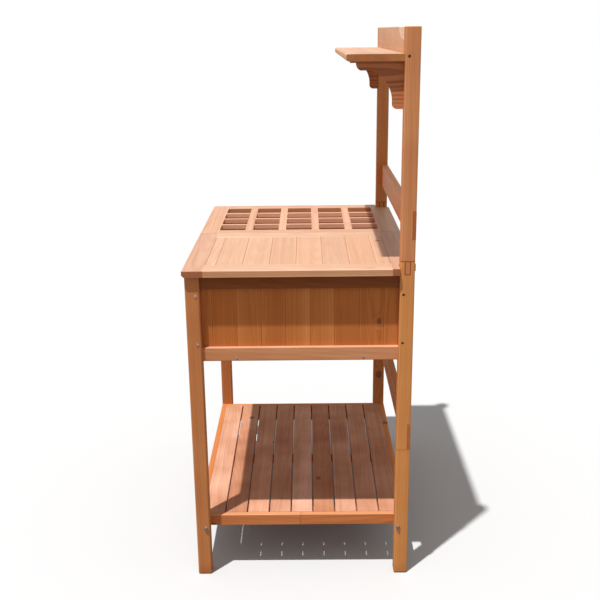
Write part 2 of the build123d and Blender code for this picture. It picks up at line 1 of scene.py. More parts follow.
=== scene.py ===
import bmesh
import bpy
import numpy as np
from mathutils import Matrix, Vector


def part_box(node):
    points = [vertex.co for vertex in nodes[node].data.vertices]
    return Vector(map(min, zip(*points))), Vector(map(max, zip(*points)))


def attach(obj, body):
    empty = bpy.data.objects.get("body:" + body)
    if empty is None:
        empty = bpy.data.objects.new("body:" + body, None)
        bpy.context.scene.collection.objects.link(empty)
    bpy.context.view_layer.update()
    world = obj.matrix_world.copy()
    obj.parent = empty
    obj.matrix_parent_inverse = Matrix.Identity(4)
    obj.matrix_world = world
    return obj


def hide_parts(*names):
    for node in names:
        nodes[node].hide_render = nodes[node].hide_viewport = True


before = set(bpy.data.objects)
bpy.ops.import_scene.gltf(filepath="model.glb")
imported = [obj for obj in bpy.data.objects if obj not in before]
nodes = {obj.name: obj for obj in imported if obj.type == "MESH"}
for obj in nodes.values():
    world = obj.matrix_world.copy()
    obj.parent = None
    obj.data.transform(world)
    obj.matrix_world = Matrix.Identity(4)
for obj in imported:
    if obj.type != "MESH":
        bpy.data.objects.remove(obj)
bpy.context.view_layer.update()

# Legs and upper posts
# Square fir stock planed to 38 mm and stained red brown, with rounded corners and eased feet.
# Each rear leg carries its post on a bridle splice; the near one is finger jointed from two lengths.
X, Y, Z = 0, 1, 2


def add(tree, kind, feeds=(), **settings):
    """One shader node, with its settings and the values or outputs that feed its sockets."""
    node = tree.nodes.new("ShaderNode" + kind)
    for name, value in settings.items():
        setattr(node, name, value)
    for socket, value in feeds:
        if isinstance(value, bpy.types.NodeSocket):
            tree.links.new(value, node.inputs[socket])
        else:
            node.inputs[socket].default_value = value
    return node


def sums(tree, operation, *values):
    """The output of one arithmetic node."""
    return add(tree, "Math", list(enumerate(values)), operation=operation).outputs[0]


def vectors(tree, operation, *values):
    """The outputs of one vector arithmetic node."""
    return add(tree, "VectorMath", list(enumerate(values)), operation=operation).outputs


def ramp(tree, value, low, high):
    """0 below low, 1 above high, and a smooth step between them."""
    feeds = [("Value", value), ("From Min", low), ("From Max", high)]
    return add(tree, "MapRange", feeds, interpolation_type="SMOOTHSTEP").outputs["Result"]


def fall(tree, value, low, high):
    """1 below low, 0 above high, and a smooth step between them."""
    return sums(tree, "SUBTRACT", 1.0, ramp(tree, value, low, high))


def swing(tree, value, width, middle=0.0):
    """A value from 0 to 1 spread over a width about a middle."""
    return sums(tree, "MULTIPLY_ADD", value, width, middle - width / 2)


def blend(tree, factor, first, second, mode="MIX"):
    """Two colours mixed by a factor, through the colour sockets of a mix node."""
    factor_in, first_in, second_in, colour_out = 0, 6, 7, 2
    feeds = [(factor_in, factor), (first_in, first), (second_in, second)]
    return add(tree, "Mix", feeds, data_type="RGBA", blend_type=mode).outputs[colour_out]


def noise(tree, vector, seed, scale, detail):
    """Smooth noise over the board, different for every seed."""
    feeds = [("Vector", vector), ("W", seed), ("Scale", scale), ("Detail", detail)]
    return add(tree, "TexNoise", feeds, noise_dimensions="4D").outputs[0]


def stretched(tree, point, per_metre, seed, detail):
    """Smooth noise with its own number of waves in a metre along each axis."""
    return noise(tree, vectors(tree, "MULTIPLY", point, per_metre)[0], seed, 1.0, detail)


def shader_group(name, inputs, outputs):
    """An empty shader group with named sockets, and its two ends."""
    tree = bpy.data.node_groups.new(name, "ShaderNodeTree")
    for label, kind in inputs:
        tree.interface.new_socket(label, in_out="INPUT", socket_type="NodeSocket" + kind)
    for label, kind in outputs:
        tree.interface.new_socket(label, in_out="OUTPUT", socket_type="NodeSocket" + kind)
    given = tree.nodes.new("NodeGroupInput").outputs
    return tree, given, tree.nodes.new("NodeGroupOutput").inputs


def make_board_place():
    """Which board of a row a point lies in, measured from that board's middle.

    The board number is the whole part of (across - first seam) / pitch. A finger joint at one place
    along the grain starts a new length of wood: its line is a triangle wave over the depth. The arris
    mask is 1 where the point is near the board's edge both across and in depth.
    """
    tree, given, out = shader_group(
        "Board place",
        [("Along", "Float"), ("Across", "Float"), ("Depth", "Float"), ("First seam", "Float"),
         ("Pitch", "Float"), ("Depth middle", "Float"), ("Half width", "Float"), ("Half depth", "Float"),
         ("Joint at", "Float"), ("Seed", "Float")],
        [("Board vector", "Vector"), ("Board seed", "Float"), ("Seam", "Float"), ("Arris", "Float")],
    )
    line_core, seam_reach, joint_reach = 0.0003, 0.0015, 0.0012
    finger_wide, finger_slope = 0.004, 1.5
    next_board, next_length = 1.37, 0.61
    arris_core, arris_reach = 0.0006, 0.0045
    from_first = sums(tree, "SUBTRACT", given["Across"], given["First seam"])
    steps = sums(tree, "DIVIDE", from_first, given["Pitch"])
    number = sums(tree, "FLOOR", steps)
    part = sums(tree, "SUBTRACT", sums(tree, "SUBTRACT", steps, number), 0.5)
    local = sums(tree, "MULTIPLY", part, given["Pitch"])
    depth = sums(tree, "SUBTRACT", given["Depth"], given["Depth middle"])
    half_pitch = sums(tree, "MULTIPLY", given["Pitch"], 0.5)
    to_seam = sums(tree, "SUBTRACT", half_pitch, sums(tree, "ABSOLUTE", local))
    seam = fall(tree, to_seam, line_core, seam_reach)
    fingers = sums(tree, "MULTIPLY", sums(tree, "PINGPONG", given["Depth"], finger_wide), finger_slope)
    past = sums(tree, "SUBTRACT", sums(tree, "ADD", given["Along"], fingers), given["Joint at"])
    joint = fall(tree, sums(tree, "ABSOLUTE", past), line_core, joint_reach)
    beyond = sums(tree, "MULTIPLY", sums(tree, "GREATER_THAN", past, 0.0), next_length)
    seed = sums(tree, "ADD", sums(tree, "MULTIPLY_ADD", number, next_board, given["Seed"]), beyond)
    to_side = sums(tree, "SUBTRACT", given["Half width"], sums(tree, "ABSOLUTE", local))
    to_face = sums(tree, "SUBTRACT", given["Half depth"], sums(tree, "ABSOLUTE", depth))
    vector = add(tree, "CombineXYZ", [("X", given["Along"]), ("Y", local), ("Z", depth)])
    tree.links.new(vector.outputs[0], out["Board vector"])
    tree.links.new(seed, out["Board seed"])
    tree.links.new(sums(tree, "MAXIMUM", seam, joint), out["Seam"])
    to_arris = sums(tree, "MAXIMUM", to_side, to_face)
    tree.links.new(fall(tree, to_arris, arris_core, arris_reach), out["Arris"])
    return tree


def make_fir_figure():
    """Growth rings as distance from a slanting pith line, bent by slow noise and pushed aside by knots.

    Each board has its own pith, so the rings come out as straight lines on one face, arches on another
    and arcs on the end. A knot lies in some of the cells of a stretched cell pattern, or where it is put.
    Fibre and streak are noise drawn out along the grain, and blotch is noise of one size in every direction.
    """
    tree, given, out = shader_group(
        "Fir figure",
        [("Board vector", "Vector"), ("Board seed", "Float"), ("Across", "Float"), ("Ring width", "Float"),
         ("Knots", "Float"), ("Knot place", "Vector")],
        [("Latewood", "Float"), ("Reach", "Float"), ("Knot", "Float"), ("Knot edge", "Float"),
         ("Fibre", "Float"), ("Streak", "Float"), ("Blotch", "Float"), ("Chance", "Color")],
    )
    cells_along, cells_across, cell_slant, next_cell = 2.4, 9.0, 0.6, 3.17
    cell_metres, cell_jumble = (0.31, 0.11, 0), 0.9
    least_knot, knot_range, far_from_knot, knot_long, no_size = 0.0025, 0.0055, 99.0, 0.7, 1e-6
    heart_core, heart_reach, rim_at, rim_core, rim_reach = 0.8, 1.15, 1.1, 0.05, 0.3
    bend_core, bend_reach = 0.3, 4.0
    lean_across, lean_inward = 0.04, 0.10
    pith_across, pith_inward, pith_least = 0.07, 0.06, 0.012
    slow_bend, quick_bend, knot_bend = 0.026, 0.0016, 0.009
    slow_waves, quick_waves = (1.9, 11.0, 11.0), (14.0, 90.0, 90.0)
    fibre_waves, streak_waves, blotch_waves = (7.0, 520.0, 520.0), (1.1, 85.0, 85.0), 7.0
    late_from, late_full, late_ends, faintest_year = 0.25, 0.86, 0.9, 0.4
    point, seed = given["Board vector"], given["Board seed"]
    chance = add(tree, "TexWhiteNoise", [("W", seed)], noise_dimensions="1D")
    red, green, blue = add(tree, "SeparateColor", [("Color", chance.outputs["Color"])]).outputs
    along, across, depth = add(tree, "SeparateXYZ", [("Vector", point)]).outputs
    cell_x = sums(tree, "MULTIPLY", sums(tree, "MULTIPLY_ADD", seed, next_cell, along), cells_along)
    slanted = sums(tree, "MULTIPLY_ADD", depth, cell_slant, across)
    cell_y = sums(tree, "MULTIPLY_ADD", slanted, cells_across, green)
    cell_point = add(tree, "CombineXYZ", [("X", cell_x), ("Y", cell_y)]).outputs[0]
    feeds = [("Vector", cell_point), ("Scale", 1.0), ("Randomness", cell_jumble)]
    cells = add(tree, "TexVoronoi", feeds, voronoi_dimensions="2D").outputs
    offset = vectors(tree, "SUBTRACT", cell_point, cells["Position"])[0]
    away = vectors(tree, "LENGTH", vectors(tree, "MULTIPLY", offset, cell_metres)[0])["Value"]
    size_chance, there_chance, _ = add(tree, "SeparateColor", [("Color", cells["Color"])]).outputs
    grown = sums(tree, "DIVIDE", away, sums(tree, "MULTIPLY_ADD", size_chance, knot_range, least_knot))
    absent = sums(tree, "GREATER_THAN", there_chance, given["Knots"])
    grown = sums(tree, "MULTIPLY_ADD", absent, far_from_knot, grown)
    put_along, put_across, put_size = add(tree, "SeparateXYZ", [("Vector", given["Knot place"])]).outputs
    off_along = sums(tree, "MULTIPLY", sums(tree, "SUBTRACT", along, put_along), knot_long)
    off_across = sums(tree, "SUBTRACT", given["Across"], put_across)
    off = add(tree, "CombineXYZ", [("X", off_along), ("Y", off_across)]).outputs[0]
    put_size = sums(tree, "MAXIMUM", put_size, no_size)
    put = sums(tree, "DIVIDE", vectors(tree, "LENGTH", off)["Value"], put_size)
    relative = sums(tree, "MINIMUM", grown, put)
    knot = fall(tree, relative, heart_core, heart_reach)
    rim = sums(tree, "ABSOLUTE", sums(tree, "SUBTRACT", relative, rim_at))
    edge = fall(tree, rim, rim_core, rim_reach)
    push = fall(tree, relative, bend_core, bend_reach)
    pith_y = sums(tree, "MULTIPLY_ADD", along, swing(tree, blue, lean_across), across)
    pith_y = sums(tree, "ADD", pith_y, swing(tree, green, pith_across))
    pith_z = sums(tree, "MULTIPLY_ADD", along, swing(tree, red, lean_inward), depth)
    pith_z = sums(tree, "ADD", pith_z, sums(tree, "MULTIPLY_ADD", blue, pith_inward, pith_least))
    square = sums(tree, "MULTIPLY_ADD", pith_y, pith_y, sums(tree, "MULTIPLY", pith_z, pith_z))
    slow = stretched(tree, point, slow_waves, seed, detail=2.0)
    quick = stretched(tree, point, quick_waves, seed, detail=1.0)
    reach = sums(tree, "ADD", sums(tree, "SQRT", square), swing(tree, slow, slow_bend))
    reach = sums(tree, "ADD", reach, swing(tree, quick, quick_bend))
    reach = sums(tree, "MULTIPLY_ADD", push, knot_bend, reach)
    years = sums(tree, "DIVIDE", reach, given["Ring width"])
    phase = sums(tree, "FRACT", years)
    year = add(tree, "TexWhiteNoise", [("W", sums(tree, "FLOOR", years))], noise_dimensions="1D")
    late = sums(tree, "SUBTRACT", ramp(tree, phase, late_from, late_full), ramp(tree, phase, late_ends, 1.0))
    strong = sums(tree, "MULTIPLY_ADD", year.outputs["Value"], 1.0 - faintest_year, faintest_year)
    late = sums(tree, "MULTIPLY", late, strong)
    fibre = stretched(tree, point, fibre_waves, seed, detail=3.0)
    streak = stretched(tree, point, streak_waves, seed, detail=2.0)
    blotch = noise(tree, point, seed, blotch_waves, detail=3.0)
    for label, output in (("Latewood", late), ("Reach", reach), ("Knot", knot), ("Knot edge", edge),
                          ("Fibre", fibre), ("Streak", streak), ("Blotch", blotch),
                          ("Chance", chance.outputs["Color"])):
        tree.links.new(output, out[label])
    return tree


def make_stain():
    """Stained colour, gloss and relief.

    Latewood is darker than the board, sapwood and rubbed arrises are paler, faces turned up take their
    own tint as painted light and sky sheen, end grain soaks up more stain, and knots and seams are dark.
    A thicker film of stain, where the tone is low, takes away more blue than red.
    """
    tree, given, out = shader_group(
        "Stain on fir",
        [("Latewood", "Float"), ("Reach", "Float"), ("Knot", "Float"), ("Knot edge", "Float"),
         ("Fibre", "Float"), ("Streak", "Float"), ("Blotch", "Float"), ("Chance", "Color"),
         ("End grain", "Float"), ("Seam", "Float"), ("Arris", "Float"), ("Pale patch", "Float"),
         ("Scuff", "Float"), ("Upward", "Float"), ("Upward tint", "Color"), ("Mottle", "Float"),
         ("Dull", "Float"), ("Board colour", "Color"), ("Spread", "Float"), ("Figure", "Float"),
         ("Seam depth", "Float")],
        [("Colour", "Color"), ("Roughness", "Float"), ("Relief", "Float")],
    )
    early_tint, late_tint, sapwood_tint = (1.07, 1.09, 1.10, 1), (0.62, 0.51, 0.43, 1), (1.5, 1.9, 2.4, 1)
    end_grain_tint, pale_patch_colour = (0.69, 0.54, 0.44, 1), (0.92, 0.56, 0.35, 1)
    knot_heart, knot_rim = (0.195, 0.072, 0.036, 1), (0.075, 0.0255, 0.012, 1)
    heart_share, rim_share, sap_share, rubbed_share = 0.8, 0.5, 0.35, 0.5
    sap_from, sap_full, sappy_from, sappy_full = 0.062, 0.082, 0.72, 0.76
    fibre_shade, streak_shade, scuff_shade = 0.24, 0.5, 0.45
    green_shift, blue_shift, film_red_power, film_blue_power = 0.08, 0.16, 0.65, 1.3
    least_rough, fibre_rough, end_rough, relief_share = 0.44, 0.22, 0.2, 0.5
    red, green, blue = add(tree, "SeparateColor", [("Color", given["Chance"])]).outputs
    base = given["Board colour"]
    early = blend(tree, 1.0, base, early_tint, "MULTIPLY")
    late = blend(tree, 1.0, base, late_tint, "MULTIPLY")
    pale = blend(tree, 1.0, base, sapwood_tint, "MULTIPLY")
    colour = blend(tree, sums(tree, "MULTIPLY", given["Latewood"], given["Figure"]), early, late)
    sappy = ramp(tree, green, sappy_from, sappy_full)
    sap = sums(tree, "MULTIPLY", ramp(tree, given["Reach"], sap_from, sap_full), sappy)
    rubbed = sums(tree, "MULTIPLY", given["Arris"], sums(tree, "MULTIPLY", given["Blotch"], rubbed_share))
    sap = sums(tree, "MULTIPLY", sap, sap_share)
    colour = blend(tree, sums(tree, "MAXIMUM", sap, rubbed), colour, pale)
    colour = blend(tree, given["Pale patch"], colour, pale_patch_colour)
    # Faces turned up take their own tint: painted light and sky sheen on the tops.
    painted_top_light = blend(tree, 1.0, colour, given["Upward tint"], "MULTIPLY")
    colour = blend(tree, given["Upward"], colour, painted_top_light)
    soaked = blend(tree, 1.0, colour, end_grain_tint, "MULTIPLY")
    colour = blend(tree, given["End grain"], colour, soaked)
    tone = sums(tree, "MULTIPLY_ADD", sums(tree, "SUBTRACT", red, 0.5), given["Spread"], 1.0)
    mottled = sums(tree, "MULTIPLY", sums(tree, "SUBTRACT", given["Blotch"], 0.5), given["Mottle"])
    tone = sums(tree, "MULTIPLY", tone, sums(tree, "ADD", mottled, 1.0))
    tone = sums(tree, "MULTIPLY", tone, swing(tree, given["Fibre"], fibre_shade, 1.0))
    tone = sums(tree, "MULTIPLY", tone, swing(tree, given["Streak"], streak_shade, 1.0))
    tone = sums(tree, "MULTIPLY", tone, sums(tree, "MULTIPLY_ADD", given["Scuff"], -scuff_shade, 1.0))
    groove = sums(tree, "MULTIPLY", given["Seam"], given["Seam depth"])
    tone = sums(tree, "MULTIPLY", tone, sums(tree, "SUBTRACT", 1.0, groove))
    warm_green, warm_blue = swing(tree, blue, green_shift, 1.0), swing(tree, blue, blue_shift, 1.0)
    warm = add(tree, "CombineXYZ", [("X", 1.0), ("Y", warm_green), ("Z", warm_blue)]).outputs[0]
    film_red, film_blue = (sums(tree, "POWER", tone, power) for power in (film_red_power, film_blue_power))
    film = add(tree, "CombineXYZ", [("X", film_red), ("Y", tone), ("Z", film_blue)]).outputs[0]
    colour = blend(tree, 1.0, blend(tree, 1.0, colour, warm, "MULTIPLY"), film, "MULTIPLY")
    colour = blend(tree, sums(tree, "MULTIPLY", given["Knot"], heart_share), colour, knot_heart)
    colour = blend(tree, sums(tree, "MULTIPLY", given["Knot edge"], rim_share), colour, knot_rim)
    rough = sums(tree, "MULTIPLY_ADD", given["Fibre"], fibre_rough, least_rough)
    rough = sums(tree, "MULTIPLY_ADD", given["End grain"], end_rough, rough)
    rough = sums(tree, "ADD", rough, given["Dull"])
    relief = sums(tree, "MULTIPLY", given["Fibre"], relief_share)
    relief = sums(tree, "MULTIPLY_ADD", given["Latewood"], relief_share, relief)
    tree.links.new(colour, out["Colour"])
    tree.links.new(rough, out["Roughness"])
    tree.links.new(relief, out["Relief"])
    return tree


board_place = make_board_place()
fir_figure = make_fir_figure()
fir_stain = make_stain()
common_stain = (0.56, 0.205, 0.066)
far_off = 9.0


def joint_line(tree, y, z, boxes):
    """1 along a joint that shows as a line: near zero of the distance to a union of boxes in Y and Z."""
    nearest, line_core, line_reach = far_off, 0.0006, 0.0022
    for y_low, y_high, z_low, z_high in boxes:
        beside = sums(tree, "MAXIMUM", sums(tree, "SUBTRACT", y_low, y), sums(tree, "SUBTRACT", y, y_high))
        above = sums(tree, "MAXIMUM", sums(tree, "SUBTRACT", z_low, z), sums(tree, "SUBTRACT", z, z_high))
        nearest = sums(tree, "MINIMUM", nearest, sums(tree, "MAXIMUM", beside, above))
    return fall(tree, sums(tree, "ABSOLUTE", nearest), line_core, line_reach)


def fir(node, grain, across, seed, first=None, pitch=None, colour=common_stain, knots=0.3, spread=0.16,
        ring=0.0055, figure=0.32, seam=0.3, joint=far_off, knot=(0, 0, 0), pale=None, scuffed=False,
        sheen=0.13, dull=0.2, mottle=0.3, upward=(1, 1, 1), end_shade=1.0, outlines=()):
    """A stained fir material for one node, each board of a row cut from its own log.

    The grain runs along one axis, and the boards lie side by side across another, a pitch apart from the
    first seam on. A joint is its place along the grain. A knot is its places along and across the grain
    and its radius. A pale patch is the centre and the reach of an ellipsoid.
    """
    wider_than_any, end_turned, up_turned, patch_edge = 10.0, (0.7, 0.95), (0.5, 0.9), (0.88, 1.0)
    dirt_low, dirt_high, grain_bump, grain_deep = 0.004, 0.045, 0.35, 0.0006
    low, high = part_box(node)
    thick = ({X, Y, Z} - {grain, across}).pop()
    half_width = (high[across] - low[across]) / 2
    if pitch is None:
        pitch = wider_than_any
        first = (low[across] + high[across]) / 2 - pitch / 2
    else:
        half_width = pitch / 2
    material = bpy.data.materials.new("Fir " + node.replace("_", " "))
    material.use_nodes = True
    tree = material.node_tree
    tree.nodes.clear()
    place = add(tree, "TexCoord").outputs
    parts = add(tree, "SeparateXYZ", [("Vector", place["Object"])]).outputs
    board = add(tree, "Group", node_tree=board_place)
    figured = add(tree, "Group", node_tree=fir_figure)
    stain = add(tree, "Group", node_tree=fir_stain)
    for label, axis in (("Along", grain), ("Across", across), ("Depth", thick)):
        tree.links.new(parts[axis], board.inputs[label])
    for label, value in (("First seam", first), ("Pitch", pitch), ("Seed", seed), ("Joint at", joint),
                         ("Depth middle", (low[thick] + high[thick]) / 2), ("Half width", half_width),
                         ("Half depth", (high[thick] - low[thick]) / 2)):
        board.inputs[label].default_value = value
    tree.links.new(board.outputs["Board vector"], figured.inputs["Board vector"])
    tree.links.new(board.outputs["Board seed"], figured.inputs["Board seed"])
    tree.links.new(parts[across], figured.inputs["Across"])
    figured.inputs["Ring width"].default_value = ring
    figured.inputs["Knots"].default_value = knots
    figured.inputs["Knot place"].default_value = knot
    for label in ("Latewood", "Reach", "Knot", "Knot edge", "Fibre", "Streak", "Blotch", "Chance"):
        tree.links.new(figured.outputs[label], stain.inputs[label])
    lines = board.outputs["Seam"]
    for boxes in outlines:
        lines = sums(tree, "MAXIMUM", lines, joint_line(tree, parts[Y], parts[Z], boxes))
    tree.links.new(lines, stain.inputs["Seam"])
    tree.links.new(board.outputs["Arris"], stain.inputs["Arris"])
    facing = add(tree, "SeparateXYZ", [("Vector", place["Normal"])]).outputs
    end_grain = ramp(tree, sums(tree, "ABSOLUTE", facing[grain]), *end_turned)
    tree.links.new(sums(tree, "MULTIPLY", end_grain, end_shade), stain.inputs["End grain"])
    tree.links.new(ramp(tree, facing[Z], *up_turned), stain.inputs["Upward"])
    for label, value in (("Board colour", (*colour, 1)), ("Spread", spread), ("Figure", figure),
                         ("Seam depth", seam), ("Upward tint", (*upward, 1)), ("Mottle", mottle),
                         ("Dull", dull)):
        stain.inputs[label].default_value = value
    if pale:
        centre, reach = pale
        off_centre = vectors(tree, "SUBTRACT", place["Object"], centre)[0]
        gap = vectors(tree, "LENGTH", vectors(tree, "DIVIDE", off_centre, reach)[0])["Value"]
        tree.links.new(fall(tree, gap, *patch_edge), stain.inputs["Pale patch"])
    if scuffed:
        dirt = fall(tree, parts[grain], low[grain] + dirt_low, low[grain] + dirt_high)
        tree.links.new(sums(tree, "MULTIPLY", dirt, figured.outputs["Blotch"]), stain.inputs["Scuff"])
    feeds = [("Strength", grain_bump), ("Distance", grain_deep), ("Height", stain.outputs["Relief"])]
    bump = add(tree, "Bump", feeds).outputs[0]
    feeds = [("Base Color", stain.outputs["Colour"]), ("Roughness", stain.outputs["Roughness"]),
             ("Normal", bump), ("Specular IOR Level", sheen)]
    surface = add(tree, "BsdfPrincipled", feeds)
    add(tree, "OutputMaterial", [("Surface", surface.outputs[0])])
    nodes[node].data.materials.clear()
    nodes[node].data.materials.append(material)


post_stain = (0.617, 0.231, 0.090)
rear_leg_stain = (0.669, 0.265, 0.080)
leg_stain = (0.528, 0.189, 0.064)
far_leg_stain = (0.497, 0.170, 0.053)
finger_joint = 0.392
far_leg_knot = (0.282, 0.281, 0.0085)
tongue_wide, lap_thick = 0.014, 0.008
soft_figure, blotchy, joint_shade = 0.3, 0.5, 0.65
leg_low, leg_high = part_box("rear_leg_right")
tongue_low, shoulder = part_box("upper_post_right")[0][Z], leg_high[Z]
splice_middle = (leg_low[Y] + leg_high[Y]) / 2
splice = [(splice_middle - tongue_wide / 2, splice_middle + tongue_wide / 2, tongue_low, shoulder),
          (-far_off, far_off, shoulder, far_off)]
leg_lap, post_lap = ([(leg_high[Y] - lap_thick, far_off, low[Z], high[Z])]
                     for low, high in (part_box("lower_back_rail"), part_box("splash_board")))
fir("rear_leg_right", Z, X, 3.1, colour=rear_leg_stain, joint=finger_joint, figure=soft_figure,
    mottle=blotchy, scuffed=True, seam=joint_shade, outlines=[splice, leg_lap])
fir("rear_leg_left", Z, Y, 4.6, colour=far_leg_stain, knot=far_leg_knot, scuffed=True, seam=joint_shade,
    outlines=[splice, leg_lap])
fir("upper_post_right", Z, X, 5.2, colour=post_stain, figure=soft_figure, mottle=blotchy, seam=joint_shade,
    outlines=[splice, post_lap])
fir("upper_post_left", Z, X, 6.9, colour=far_leg_stain, seam=joint_shade, outlines=[splice, post_lap])
fir("front_leg_right", Z, X, 7.3, colour=leg_stain, figure=soft_figure, mottle=blotchy, scuffed=True)
fir("front_leg_left", Z, X, 8.8, colour=far_leg_stain, scuffed=True)

# End panels
# Two fir rails tenoned between the legs, grooved for the tongued boards that stand between them.
# The boards are 10 mm fir with a small vee at each joint, held in the grooves without glue.
board_pitch = 0.0652
end_board_seam = -0.233
# The top rails are stained darker, partly as painted shade: the shade under the worktop's overhang.
end_top_stain_and_shade, end_bottom_stain = (0.265, 0.078, 0.0235), (0.535, 0.198, 0.079)
board_stain, board_spread, board_seam = (0.54, 0.167, 0.041), 0.2, 0.22
# Tint for faces turned up: a painted sheen of the sky and painted light on the tops.
top_sky_sheen = (0.99, 1.29, 1.78)
end_board_knot = (0.754, 0.211, 0.005)
for side, seed in (("right", 11.0), ("left", 31.0)):
    fir("end_top_rail_" + side, Y, Z, seed + 0.4, colour=end_top_stain_and_shade)
    fir("end_bottom_rail_" + side, Y, Z, seed + 0.7, colour=end_bottom_stain, figure=soft_figure, knots=0,
        upward=top_sky_sheen)
    fir("end_planks_" + side, Z, Y, seed, first=end_board_seam, pitch=board_pitch, colour=board_stain,
        spread=board_spread, seam=board_seam, knot=end_board_knot if side == "right" else (0, 0, 0))

# Long front and back panels
# Stiles bolted to the legs, rails tenoned between them, and the same tongued boards as the ends.
# Stiles, rails and boards are fir, stained before the panel is put together.
long_board_seam = -0.326
stile_span = 0.786
for side, seed in (("front", 51.0), ("back", 71.0)):
    fir(side + "_stiles", Z, X, seed + 0.2, first=-stile_span, pitch=stile_span)
    fir(side + "_top_rail", X, Z, seed + 0.4)
    fir(side + "_bottom_rail", X, Z, seed + 0.7)
    fir(side + "_planks", Z, X, seed, first=long_board_seam, pitch=board_pitch, colour=board_stain,
        spread=board_spread, seam=board_seam)

# Panel bolts
# Steel furniture bolts with a low round head and a six-sided socket, run through the legs.
# The front ones stand on the leg and are zinc plated; the rear ones are black and sunk in the wood.


def turned(name, node, slot, material, profile, places, outward, recess=None, crown=0, sides=48, flats=None):
    """Like pieces turned about an axis: P(s, t) = place + r(s) (cos t u + sin t v) + h(s, t) outward.

    r and h follow a profile from the crown round to the tip, or round a ring. On the crown rows the recess
    lowers h by a depth found from r and t. With flats, the largest r is divided by the cosine of the angle
    from the middle of the nearest flat, which makes the outline a regular polygon.
    """
    rim_share, weld, sharp_angle = 0.99, 1e-7, 0.6
    turn = np.arange(sides) * 2 * np.pi / sides
    rows = np.array(profile, float)
    radius = np.repeat(rows[:, :1], sides, axis=1)
    height = np.repeat(rows[:, 1:], sides, axis=1)
    if recess is not None:
        height[:crown] -= recess(radius[:crown], turn)
    if flats:
        spread = 1 / np.cos((turn + np.pi / flats) % (2 * np.pi / flats) - np.pi / flats)
        outer = radius > radius.max() * rim_share
        radius = np.where(outer, radius * spread, radius)
    local = np.stack([radius * np.cos(turn), radius * np.sin(turn), height], axis=-1)
    ahead = np.array(outward, float)
    first = np.roll(np.abs(ahead), 1, axis=1)
    frames = np.stack([first, np.cross(ahead, first), ahead], axis=1)
    points = np.array(places, float)[:, None, None, :] + np.einsum("mnc,kcd->kmnd", local, frames)
    ring = rows[0, 0] > 0
    count = len(rows) if ring else len(rows) - 1
    i, j = np.meshgrid(np.arange(count), np.arange(sides), indexing="ij")
    i2, j2 = (i + 1) % len(rows), (j + 1) % sides
    quads = np.stack([i * sides + j, i2 * sides + j, i2 * sides + j2, i * sides + j2], axis=-1).reshape(-1, 4)
    starts = np.arange(len(points)) * len(rows) * sides
    mesh = bpy.data.meshes.new(name)
    faces = (starts[:, None, None] + quads).reshape(-1, 4)
    mesh.from_pydata(points.reshape(-1, 3).tolist(), [], faces.tolist())
    merged = bmesh.new()
    merged.from_mesh(mesh)
    bmesh.ops.remove_doubles(merged, verts=merged.verts, dist=weld)
    merged.to_mesh(mesh)
    merged.free()
    mesh.polygons.foreach_set("use_smooth", np.ones(len(mesh.polygons), bool))
    mesh.set_sharp_from_angle(angle=sharp_angle)
    mesh.materials.append(material)
    piece = bpy.data.objects.new(name, mesh)
    bpy.context.scene.collection.objects.link(piece)
    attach(piece, "bench")
    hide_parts(node)


def middles(node, axis, head):
    """The middle of the one head, or of the first and last heads, that a node has along an axis."""
    room_for_two = 1.5 * head
    low, high = (corner[axis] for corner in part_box(node))
    if high - low < room_for_two:
        return [(low + high) / 2]
    return [low + head / 2, high - head / 2]


def at_both_ends(node, head, tall):
    """The seats of a node's heads on the two ends of the bench, and the way each head faces."""
    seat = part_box(node)[1][X] - tall
    spots = [(y, z) for y in middles(node, Y, head) for z in middles(node, Z, head)]
    places = [(end * seat, y, z) for end in (1, -1) for y, z in spots]
    return places, [(np.sign(place[0]), 0, 0) for place in places]


def headed(head, tall, dome, shank, long):
    """Profile of a bolt from the crown: a dome falling with the square of r, a short rim, then the shank."""
    crown_share, seat_share, crown_rows, edge = 0.94, 0.96, 34, 0.0002
    crown_r = np.linspace(0, crown_share * head / 2, crown_rows)
    crown_h = tall - dome * (2 * crown_r / head) ** 2
    rim = [(head / 2, tall - dome - edge), (head / 2, edge), (seat_share * head / 2, 0.0)]
    tail = [(shank / 2, 0.0), (shank / 2, -long + shank / 2), (0.0, -long)]
    return [*zip(crown_r, crown_h), *rim, *tail], len(crown_r)


def make_tarnish():
    """Plated steel: patches of dull oxide and fine scratches from two noises over the piece."""
    tree, given, out = shader_group(
        "Tarnish on steel",
        [("Place", "Vector"), ("Bright", "Color"), ("Dull", "Color"), ("Patch size", "Float")],
        [("Colour", "Color"), ("Roughness", "Float"), ("Relief", "Float")],
    )
    patch_seed, scratch_seed, scratch_waves = 2.0, 5.0, (900, 260, 2600)
    scratch_share, dull_from, dull_full = 0.3, 0.45, 0.9
    bright_rough, dull_rough = 0.28, 0.3
    patch_scale = sums(tree, "DIVIDE", 1.0, given["Patch size"])
    patch = noise(tree, given["Place"], patch_seed, patch_scale, detail=3.0)
    scratch = stretched(tree, given["Place"], scratch_waves, scratch_seed, detail=2.0)
    dulled = ramp(tree, sums(tree, "MULTIPLY_ADD", scratch, scratch_share, patch), dull_from, dull_full)
    tree.links.new(blend(tree, dulled, given["Bright"], given["Dull"]), out["Colour"])
    tree.links.new(sums(tree, "MULTIPLY_ADD", dulled, dull_rough, bright_rough), out["Roughness"])
    tree.links.new(scratch, out["Relief"])
    return tree


tarnish = make_tarnish()


